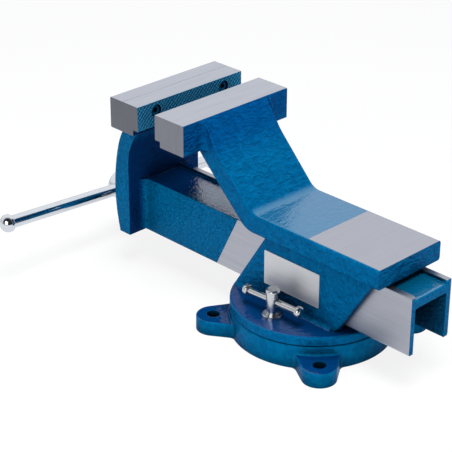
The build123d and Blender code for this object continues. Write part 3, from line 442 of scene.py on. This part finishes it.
# %% Ground enamel
def ground_enamel(
    name,
    deep,
    thin,
    regions,
    ripple=2.0,
    relief=0.8,
    stretch=(1, 1, 1),
    level=0.5,
    satin=0.06,
    gloss=1.75,
    pool=55,
    reach=40,
    shelter=None,
    top_shade=None,
    grip=None,
):
    """Enamel on ripples of that width and relief in mm, which level out by a share on upward faces.
    It is deeper and darker in the hollows and thinner and lighter on the crests, partly painted
    shade and highlight. Satin and gloss are its clear layer's roughness and index; the functions
    above say what pool, reach, shelter, grip and the shade at the top do. Ground steel lies inside
    each region's box."""
    material, tree, shader, place = new_material(name)
    split = add(tree, "SeparateXYZ", {0: place}).outputs
    normal = add(tree, "NewGeometry").outputs["Normal"]
    facing = add(tree, "SeparateXYZ", {0: normal}).outputs
    rises = {"Value": facing[2], "From Min": UPWARD[0], "From Max": UPWARD[1]}
    upward = add(tree, "MapRange", rises, interpolation_type="SMOOTHSTEP").outputs[0]
    ground = [ground_steel(tree, place, split, region) for region in regions]
    bare = ground[0][0] if ground else None
    for inside, _, _ in ground[1:]:
        bare = add(tree, "Math", {0: bare, 1: inside}, operation="MAXIMUM").outputs[0]
    # rounded normals, and the mask of the edges' painted highlight
    rounded, edge = rounded_edge_highlight(tree, normal, bare)
    # colour: darker hollows and lighter crests, partly painted shade and highlight
    height = orange_peel(tree, place, ripple, stretch)
    tops = {"Value": height, "From Min": RIPPLE_TOPS[0], "From Max": RIPPLE_TOPS[1]}
    tones = {0: add(tree, "MapRange", tops).outputs[0], 6: linear(deep), 7: linear(thin)}
    colour = add(tree, "Mix", tones, data_type="RGBA").outputs[2]
    # painted shade towards the top
    if top_shade is not None:
        colour = top_shaded_paint(tree, split, colour, top_shade)
    # painted highlight on edges
    layers = [(edge, ENAMEL_EDGE_HIGHLIGHT)]
    # painted sheen on level upward faces; darker pools and neck corner, partly pooled paint and
    # partly painted shade
    if grip is None:
        level_sheen, pool_and_shade = level_sheen_and_pool_shade(tree, split, facing, upward, pool, shelter)
        layers = [(level_sheen, ENAMEL_LEVEL_SHEEN), (pool_and_shade, ENAMEL_POOL_SHADE), *layers]
    else:
        # painted highlight on the ridges, painted shade in the grooves
        colour = grip_highlight_and_shade(tree, split, *grip)
    for mask, layer in layers:
        colour = add(tree, "Mix", {0: mask, 6: colour, 7: layer}, data_type="RGBA").outputs[2]
    # painted shade: colour darkens in corners and recesses
    clean = corner_light(tree, upward, reach)
    colour = add(tree, "VectorMath", {0: colour, "Scale": clean}, operation="SCALE").outputs[0]
    for inside, shade, scratch in ground:
        colour = add(tree, "Mix", {0: inside, 6: colour, 7: shade}, data_type="RGBA").outputs[2]
        height = add(tree, "Mix", {0: inside, 2: height, 3: scratch}).outputs[0]
    tree.links.new(colour, shader.inputs["Base Color"])
    # gloss and relief
    shader.inputs["Coat Roughness"].default_value = satin
    shader.inputs["Coat IOR"].default_value = gloss
    shader.inputs["Specular IOR Level"].default_value = PAINT_SPECULAR
    levels = {0: upward, 1: -level * relief * MM, 2: relief * MM}
    depth = add(tree, "Math", levels, operation="MULTIPLY_ADD").outputs[0]
    depth = paint_or_steel(tree, shader, upward, bare, depth)
    skin = {"Height": height, "Distance": depth, "Strength": 1.0, "Normal": rounded}
    bump = add(tree, "Bump", skin).outputs[0]
    tree.links.new(bump, shader.inputs["Normal"])
    tree.links.new(bump, shader.inputs["Coat Normal"])
    return material


print("ground enamel ready")

# %% [markdown]
# ### Ground places on this vise
# The jaws' tops and ends, the rear of the anvil, and the slide's sides and rails are bare. The
# slide's front boundary is slanted, as its fixture lay. The jaws' ends were ground with a coarser
# wheel than their tops, so their steel is duller, most of all on the moving jaw.

# %% Ground places
ACROSS, DOWN, ALONG = (60, 0.9, 0.9), (0.9, 0.9, 40), (0.9, 60, 1.2)  # mm: lines along X, Z and Y
JAW_TOP, HALF_JAW, JAW_ENDS_LOW = 213.9, 75.5, 150  # mm
SLIDE_HALF, SIDES_LOW, RAIL_TOP, RAIL_INNER = 30.0, 41, 106.2, 20  # mm
SLIDE_FRONT, LEFT_RAIL_FRONT, SLIDE_REAR = -133.5, -205, 152.9  # mm along Y
ANVIL_FRONT, ANVIL_SKIN = 32.4, (130.7, 130.9)  # mm: along Y, and the heights round its face
MOVING_FACE, FIXED_FACE, GROOVE_DEPTH = -182.6, -156.0, 0.7  # mm along Y
FAR, OVER = 400, 1  # mm: beyond the vise on any side; how far a box reaches over its surface
TOP_UNDER, END_UNDER, SIDE_UNDER = 0.05, 0.2, 0.6  # mm: how far a box reaches under its surface
FRONT_SLANT = 0.5  # mm along Y for each mm of height
TOP_STEEL, ANVIL_STEEL, SLIDE_STEEL = "#bcc1cd", "#b0b3be", "#acafb9"
low, high = (-FAR, -FAR, JAW_TOP - TOP_UNDER), (FAR, FAR, JAW_TOP + OVER)
jaw_top = ground_region(low, high, TOP_STEEL, ACROSS, contrast=0.12)
low, high = (-FAR, ANVIL_FRONT, ANVIL_SKIN[0]), (FAR, FAR, ANVIL_SKIN[1])
anvil_top = ground_region(low, high, ANVIL_STEEL, ACROSS, contrast=0.06)
right_end = (HALF_JAW - END_UNDER, HALF_JAW + OVER)
left_end = (-HALF_JAW - OVER, -HALF_JAW + END_UNDER)
fixed_ends, moving_ends = (
    [
        ground_region((a, -FAR, JAW_ENDS_LOW), (b, FAR, JAW_TOP + OVER), steel, DOWN, contrast=0.16)
        for a, b in (right_end, left_end)
    ]
    for steel in ("#83868f", "#6f717a")  # the fixed jaw's, the moving jaw's
)
slide_ground = [
    ground_region((a, front, bottom), (b, SLIDE_REAR, RAIL_TOP), SLIDE_STEEL, ALONG, slant)
    for a, b, front, bottom, slant in (  # both sides, then both rails
        (SLIDE_HALF - SIDE_UNDER, SLIDE_HALF + OVER, SLIDE_FRONT, SIDES_LOW, FRONT_SLANT),
        (-SLIDE_HALF - OVER, -SLIDE_HALF + SIDE_UNDER, SLIDE_FRONT, SIDES_LOW, FRONT_SLANT),
        (RAIL_INNER, FAR, SLIDE_FRONT, RAIL_TOP - OVER, FRONT_SLANT),
        (-FAR, -RAIL_INNER, LEFT_RAIL_FRONT, RAIL_TOP - OVER, 0.0),
    )
]
print(2 + len(fixed_ends + moving_ends + slide_ground), "ground places")

# %% [markdown]
# ### The enamelled pieces
# The body, the sliding jaw and the base were dipped one after the other, so each has its own
# ripple and tone. The jaw plates and their screws were painted with the jaws.

# %% Enamelled pieces
body_paint = ground_enamel(
    "blue_enamel_on_cast_body",
    "#005383",
    "#006396",
    [jaw_top, *fixed_ends, anvil_top],
    ripple=2.6,
    relief=2.2,
    stretch=(2, 1, 1),
    level=0.8,
    satin=0.18,
    gloss=1.68,
    # painted shade: the body darkens towards its top, under the jaw's head
    top_shade=(170, 194),
)
jaw_paint = ground_enamel(
    "blue_enamel_on_sliding_jaw",
    "#005888",
    "#0072a6",
    [*slide_ground, jaw_top, *moving_ends],
    ripple=1.5,
    relief=2.4,
    level=0.85,
    gloss=2.0,
    # below this height upward paint is darker: partly pooled paint, partly painted shade
    pool=108,
    reach=90,
    # ahead of this Y the rearward faces by the neck get painted shade
    shelter=-158,
)
plate_paint, front_plate_paint, screw_paint = (
    ground_enamel(name, "#004c7a", "#006598", regions, ripple=1.5, relief=0.2, grip=grip)
    for name, regions, grip in (
        ("blue_enamel_on_fixed_jaw_plate", [jaw_top, *fixed_ends], (FIXED_FACE, GROOVE_DEPTH)),
        ("blue_enamel_on_moving_jaw_plate", [jaw_top, *moving_ends], (MOVING_FACE, GROOVE_DEPTH)),
        ("blue_enamel_on_jaw_screws", [], None),
    )
)
base_paint = ground_enamel(
    "blue_enamel_on_base", "#005684", "#006694", [], ripple=3.2, relief=0.8, level=0.6, reach=25
)
print("enamel ready")

# %% [markdown]
# ## Other finishes
# The spindle, its handle and the knobs are polished and hard chromed: nearly a mirror, so they
# show the room's white and its dark opening as sharp bands. The lock bolts, washers and pins are
# zinc plated, which is as bright but softer. Hidden pieces are oiled turned steel, black oxide
# screws and machined iron. One recipe serves them all: a metal colour, its roughness, and faint
# tool marks whose size is given in millimetres.


# %% Other finishes
ROUGHNESS_SPAN = (0.8, 1.3)  # a tool mark's roughness as a share of its metal's


def metal(name, colour, roughness, lines=(6, 6, 6), contrast=0.1, relief=0.03):
    """A bare or plated metal; lines gives its tool marks' size in mm along X, Y and Z, relief
    their height."""
    material, tree, shader, place = new_material(name)
    shader.inputs["Metallic"].default_value = 1.0
    stretched = {"Vector": place, "Scale": tuple(v * MM for v in lines)}
    tool = add(tree, "Mapping", stretched, vector_type="TEXTURE").outputs[0]
    marks = add(tree, "TexNoise", {"Vector": tool, "Scale": 1.0, "Detail": 3.0}).outputs[0]
    wear = {"Value": marks, "From Min": WEAR_SPAN[0], "From Max": WEAR_SPAN[1]}
    worn = add(tree, "MapRange", {**wear, "To Min": 1 - contrast}).outputs[0]
    shade = add(tree, "VectorMath", {0: linear(colour)[:3], "Scale": worn}, operation="SCALE")
    tree.links.new(shade.outputs[0], shader.inputs["Base Color"])
    smooth, rough = (roughness * share for share in ROUGHNESS_SPAN)
    spread = {"Value": marks, "To Min": smooth, "To Max": rough}
    tree.links.new(add(tree, "MapRange", spread).outputs[0], shader.inputs["Roughness"])
    bump = add(tree, "Bump", {"Height": marks, "Distance": relief * MM, "Strength": 1.0})
    tree.links.new(bump.outputs[0], shader.inputs["Normal"])
    return material


chrome = metal("hard_chrome_polished", "#d3d8df", 0.09, (9, 9, 9), 0.06, 0.0)
zinc = metal("bright_zinc_plating", "#cdd0d2", 0.2, (2, 2, 2), 0.2)
foil = metal("satin_aluminium_foil", "#d6d8dc", 0.5, (0.5, 50, 1.0), 0.08)
black_oxide = metal("black_oxide_screw_steel", "#3a3b3e", 0.45)
turned = metal("turned_steel_oiled", "#a3a5aa", 0.3, (20, 0.7, 20), 0.25)
thread_steel = metal("rolled_thread_steel_greased", "#8e9096", 0.28, (4, 4, 4), 0.15)
iron = metal("cast_iron_machined", "#7d7d7f", 0.5, (3, 3, 3), 0.3)
print("metals ready")

# %% [markdown]
# ## Finishes on the pieces
# A solid that already has its real shape keeps it and only gets its finish. One table of finish
# to pieces shows at a glance that none is left out.

# %% Finishes on the pieces
LOCK_KINDS = ("lock_bolt", "lock_bar", "lock_bar_knobs", "lock_washer")
lock_pieces = [f"{kind}_{side}" for kind in LOCK_KINDS for side in ("right", "left")]
FINISHES = {
    body_paint: ["vise_body"],
    jaw_paint: ["sliding_jaw"],
    plate_paint: ["rear_jaw_plate"],
    screw_paint: ["rear_jaw_screws", "front_jaw_screws"],
    front_plate_paint: ["front_jaw_plate"],
    base_paint: ["swivel_base"],
    chrome: ["handle_bar", "handle_knob_right", "handle_knob_left", "spindle"],
    zinc: [*lock_pieces, "pivot_washer", "split_pin"],
    foil: ["label_plate"],
    black_oxide: ["lead_nut_screws", "disc_springs", "pivot_bolt"],
    turned: ["thrust_washer", "retaining_collar", "t_nut_right", "t_nut_left"],
    iron: ["lead_nut"],
}
for material, names in FINISHES.items():
    for name in names:
        nodes[name].data.materials.clear()
        nodes[name].data.materials.append(material)
left_over = set(nodes) - {name for names in FINISHES.values() for name in names}
print("finished nodes", len(nodes), "left over", sorted(left_over))

# %% [markdown]
# ## Putting a surface into a piece
# A new surface is an array of points in rows and columns. Each array becomes a grid of faces;
# grids that share an edge are welded where their points meet. Faces are shaded smooth, and stay
# sharp where two of them turn by more than a given angle.


# %% Grids to pieces
MERGE, TINY = 0.004 * MM, 0.002 * MM  # points nearer than this are one; shorter edges go


def grid_faces(rows, columns, first):
    """The four corners of each face of a grid whose points are numbered row by row from first."""
    corner = first + np.arange(rows - 1)[:, None] * columns + np.arange(columns - 1)
    beside = corner + columns
    return np.stack([corner, corner + 1, beside + 1, beside], axis=-1).reshape(-1, 4)


def weld(name, grids, base=None, sharp=30):
    """One object from grids of points in mm, and from a bmesh in metres where base is given."""
    points, faces, first = [], [], 0
    for grid in grids:
        rows, columns = grid.shape[:2]
        points.append(grid.reshape(-1, 3))
        faces.append(grid_faces(rows, columns, first))
        first += rows * columns
    mesh = bpy.data.meshes.new(name)
    mesh.from_pydata((np.concatenate(points) * MM).tolist(), [], np.concatenate(faces).tolist())
    shell = base or bmesh.new()
    shell.from_mesh(mesh)
    bmesh.ops.remove_doubles(shell, verts=shell.verts, dist=MERGE)
    bmesh.ops.dissolve_degenerate(shell, edges=shell.edges, dist=TINY)
    bmesh.ops.recalc_face_normals(shell, faces=shell.faces)
    open_edges = sum(1 for edge in shell.edges if not edge.is_manifold)
    shell.to_mesh(mesh)
    shell.free()
    mesh.shade_smooth()
    mesh.set_sharp_from_angle(angle=math.radians(sharp))
    piece = bpy.data.objects.new(name, mesh)
    bpy.context.scene.collection.objects.link(piece)
    print(name, len(mesh.polygons), "faces", open_edges, "open edges")
    return piece


print("grids can be welded")

# %% [markdown]
# ## Jaw plates with a diamond-cut grip
# Each jaw carries a steel plate held by two sunk socket screws. Its gripping face is cut with two
# families of V-grooves that cross and leave small diamonds. The face is a height map on a grid: a
# point sinks by the deeper of the two grooves nearest to it. Round each screw the grid turns into
# rays that run from the hole's circle to a square, so the hole stays round. The grooves fade out
# at the edges and round the holes, as the real cut stops at a narrow flat border.

# %% Jaw plates
PLATE_LOW, PLATE_HIGH, PLATE_THICK = 186.4, 213.9, 23.0  # mm
SCREW_X, SCREW_Z = 48.8, 202.9  # mm: the screws' places
BORE, SHANK, BORE_DEPTH = 6.9, 4.02, 10.0  # mm: radii, and the counterbore's depth
CELL = 0.5  # mm from point to point along X
COLUMNS, ROWS = 303, 56  # points along X and Z
MIDDLE, HALF_HEIGHT = (PLATE_HIGH + PLATE_LOW) / 2, (PLATE_HIGH - PLATE_LOW) / 2
GROOVE_STEPS = 10  # grid steps from groove to groove
GROOVE_HALF, CROSS_SHARE = 1.25, 0.5  # mm; depth of the second family as a share of the first
BORDER = 0.8  # mm of flat border
FRONT_EDGE, MOUTH = 0.25, 0.4  # mm: chamfers round the face and at each bore's mouth
PLAIN_SPANS = ((0, 26), (81, 221), (276, 302))  # the grid's columns beside the holes
HOLE_SPANS = ((26, 81), (221, 276))  # its columns round each hole
CUT_RINGS, BACK_RINGS = 24, 3  # rows of points from a hole to its square, in front and behind


def diamond_cut(x, z, inset, hole):
    """Depth in mm: with d the distance to a family's nearest groove, depth times
    (1 - d / half width), the deeper family winning; the second one is shallower. It fades by the
    distance to the plate's border and to a screw's hole."""
    step = 2 * (HALF_HEIGHT - inset) / (ROWS - 1)
    above, below = z - PLATE_LOW - inset, PLATE_HIGH - inset - z
    across, rise = (x + HALF_JAW) / CELL, above / step
    deepest = np.zeros_like(x)
    for line, share in ((across + rise, 1.0), (across - rise, CROSS_SHARE)):
        family = line / GROOVE_STEPS
        away = np.abs(family - np.round(family)) * GROOVE_STEPS * CELL / math.sqrt(2)
        deepest = np.maximum(deepest, share * np.clip(1 - away / GROOVE_HALF, 0, 1))
    to_edge = np.minimum.reduce([HALF_JAW - np.abs(x), above, below])
    to_hole = np.hypot(np.abs(x) - SCREW_X, z - SCREW_Z) - hole
    return GROOVE_DEPTH * deepest * np.clip(np.minimum(to_edge, to_hole) / BORDER, 0, 1)


def rim(columns, rows):
    """Column and row numbers of the points round a grid's border, back to the first one."""
    across, rise = np.arange(columns), np.arange(rows)
    column = [across, np.full(rows - 1, columns - 1), across[-2::-1], np.zeros(rows - 1, dtype=int)]
    row = [np.zeros(columns, dtype=int), rise[1:], np.full(columns - 1, rows - 1), rise[-2::-1]]
    return np.concatenate(column), np.concatenate(row)


def holed_face(inset, hole, rings, cut):
    """Grids of (x, depth, z) that fill the plate's face: plain ones, and rays round each hole."""
    z, whole = (MIDDLE + np.linspace(-1, 1, ROWS) * (HALF_HEIGHT - gap) for gap in (inset, 0))
    x = np.linspace(-HALF_JAW, HALF_JAW, COLUMNS)
    plain = [np.meshgrid(x[a : b + 1], z, indexing="ij") for a, b in PLAIN_SPANS]
    flat, ways = list(plain), []
    for a, b in HOLE_SPANS:
        column, row = rim(b - a + 1, ROWS)
        middle = math.copysign(SCREW_X, x[a])
        angle = np.arctan2(whole[row] - SCREW_Z, x[a + column] - middle)
        share = np.linspace(0, 1, rings + 1)[:, None]
        ray_x = (middle + hole * np.cos(angle)) * (1 - share) + x[a + column] * share
        ray_z = (SCREW_Z + hole * np.sin(angle)) * (1 - share) + z[row] * share
        flat.append((ray_x, ray_z))
        ways.append((middle, angle))
    sunk = [diamond_cut(x, z, inset, hole) if cut else 0 * x for x, z in flat]
    return [np.stack([x, depth, z], axis=-1) for (x, z), depth in zip(flat, sunk)], ways


def diamond_cut_plate(name, face_y, into, seam):
    """A closed plate: cut face, bores of radius r(depth), sides whose height shrinks at both
    chamfers, and the back. Depth runs from the face into the jaw."""
    mouth = BORE + MOUTH
    grids, ways = holed_face(FRONT_EDGE, mouth, CUT_RINGS, True)
    back_grids, _ = holed_face(seam, SHANK, BACK_RINGS, False)
    for grid in back_grids:
        grid[..., 1] += PLATE_THICK
    grids += back_grids
    radius = np.array([mouth, BORE, BORE, SHANK, SHANK])[:, None]
    depth = np.array([0, MOUTH, BORE_DEPTH, BORE_DEPTH, PLATE_THICK])[:, None]
    for middle, angle in ways:
        x, z = middle + radius * np.cos(angle), SCREW_Z + radius * np.sin(angle)
        grids.append(np.stack([x, depth + 0 * x, z], axis=-1))
    column, row = rim(COLUMNS, ROWS)
    x, high = np.linspace(-HALF_JAW, HALF_JAW, COLUMNS)[column], np.linspace(-1, 1, ROWS)[row]
    inset = np.array([FRONT_EDGE, 0, 0, seam])[:, None]
    depth = np.array([0, FRONT_EDGE, PLATE_THICK - seam, PLATE_THICK])[:, None]
    z = MIDDLE + high * (HALF_HEIGHT - inset)
    grids.append(np.stack([x + 0 * z, depth + 0 * z, z], axis=-1))
    for grid in grids:
        grid[..., 1] = face_y + into * grid[..., 1]
    return weld(name, grids)


for name, face_y, into, seam, body, paint in (  # into: way into the jaw; seam: rear chamfer in mm
    ("front_jaw_plate", MOVING_FACE, -1, 0.3, "jaw", front_plate_paint),
    ("rear_jaw_plate", FIXED_FACE, 1, 0.02, "body", plate_paint),
):
    plate = diamond_cut_plate("diamond_cut_" + name, face_y, into, seam)
    plate.data.materials.append(paint)
    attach(plate, body)
    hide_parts(name)

# %% [markdown]
# ## The spindle's thread
# The lead screw has a trapezoidal thread, 24 mm across and 5 mm from turn to turn: flat crests and
# roots joined by flanks of 15 degrees. A thread is one profile swept along a helix, so the rows of
# the grid follow the helix and the profile's corners always fall on a row. The head and journal
# keep their CAD surface; the thread is a closed shell that starts just inside the journal. Its
# first turns run out in a relief groove and its last ones in a chamfer, as a lathe leaves them.

# %% Spindle
PITCH, MAJOR, THREAD_DEEP = 5.0, 12.0, 2.75  # mm: pitch, outer radius, depth of the thread
CORE = 9.2  # mm: radius of both ends
SPINDLE_Z, JOURNAL_REAR, SPINDLE_REAR = 62.15, -207.7, 116.4  # mm: height, and ends along Y
OVERLAP, RELIEF = 0.5, 4.0  # mm: how far the shaft starts inside the journal; relief groove
TURN_POINTS = 49  # points round the shaft, the last one on the first
CREST, FLANK = 0.366, 0.268  # widths of half a crest and of a flank, as shares of half a pitch
# rows in one pitch, at the profile's corners and between them:
SLACK = 0.01  # mm, so that a comparison isn't upset by rounding
STATIONS = np.array([0, 0.09, 0.183, 0.25, 0.317, 0.41, 0.5, 0.59, 0.683, 0.75, 0.817, 0.91])


def threaded_shaft(start, end):
    """Grids of a shaft along Y. At angle a and station t, y = start + pitch * (t + a / full turn);
    the radius is the crest's, less the depth times how far t lies from the crest, and never more
    than the core's plus the distance to either end."""
    turn = np.linspace(0, 2 * math.pi, TURN_POINTS)
    turns = np.arange(-1, math.ceil((end - start) / PITCH) + 1)
    station = (turns[:, None] + STATIONS).reshape(-1, 1)
    y = np.clip(start + PITCH * (station + turn / (2 * math.pi)), start, end)
    from_crest = np.abs(2 * (station % 1) - 1)
    cut = np.clip((from_crest - CREST) / FLANK, 0, 1)
    limit = CORE + np.clip(np.minimum(y - start - OVERLAP - RELIEF, end - y), 0, None)
    radius = np.minimum(MAJOR - THREAD_DEEP * cut + 0 * y, limit)
    x, z = radius * np.sin(turn), SPINDLE_Z + radius * np.cos(turn)
    grids = [np.stack([x, y, z], axis=-1)]
    for cap in (start, end):
        ring = np.array([[CORE], [0.0]])
        x, z = ring * np.sin(turn), SPINDLE_Z + ring * np.cos(turn)
        grids.append(np.stack([x, cap + 0 * x, z], axis=-1))
    return grids


head = bmesh.new()
head.from_mesh(nodes["spindle"].data)
bmesh.ops.remove_doubles(head, verts=head.verts, dist=TINY)
beyond = [v for v in head.verts if v.co.y > (JOURNAL_REAR + SLACK) * MM]
bmesh.ops.delete(head, geom=beyond, context="VERTS")
bmesh.ops.holes_fill(head, edges=[edge for edge in head.edges if edge.is_boundary])
spindle = weld("threaded_spindle", threaded_shaft(JOURNAL_REAR - OVERLAP, SPINDLE_REAR), head)
spindle.data.materials.append(chrome)
spindle.data.materials.append(thread_steel)
corner = np.empty(len(spindle.data.vertices) * 3)
spindle.data.vertices.foreach_get("co", corner)
across, along, rise = corner.reshape(-1, 3).T / MM
from_axis = np.hypot(across, rise - SPINDLE_Z)
on_thread = (along > JOURNAL_REAR - OVERLAP - SLACK) & (from_axis < MAJOR + SLACK)
loops = np.empty(len(spindle.data.loops), dtype=int)
spindle.data.loops.foreach_get("vertex_index", loops)
first = np.empty(len(spindle.data.polygons), dtype=int)
spindle.data.polygons.foreach_get("loop_start", first)
greased = np.minimum.reduceat(on_thread[loops].astype(int), first)  # 1 where all corners are on it
spindle.data.polygons.foreach_set("material_index", greased)
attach(spindle, "screw")
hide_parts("spindle")
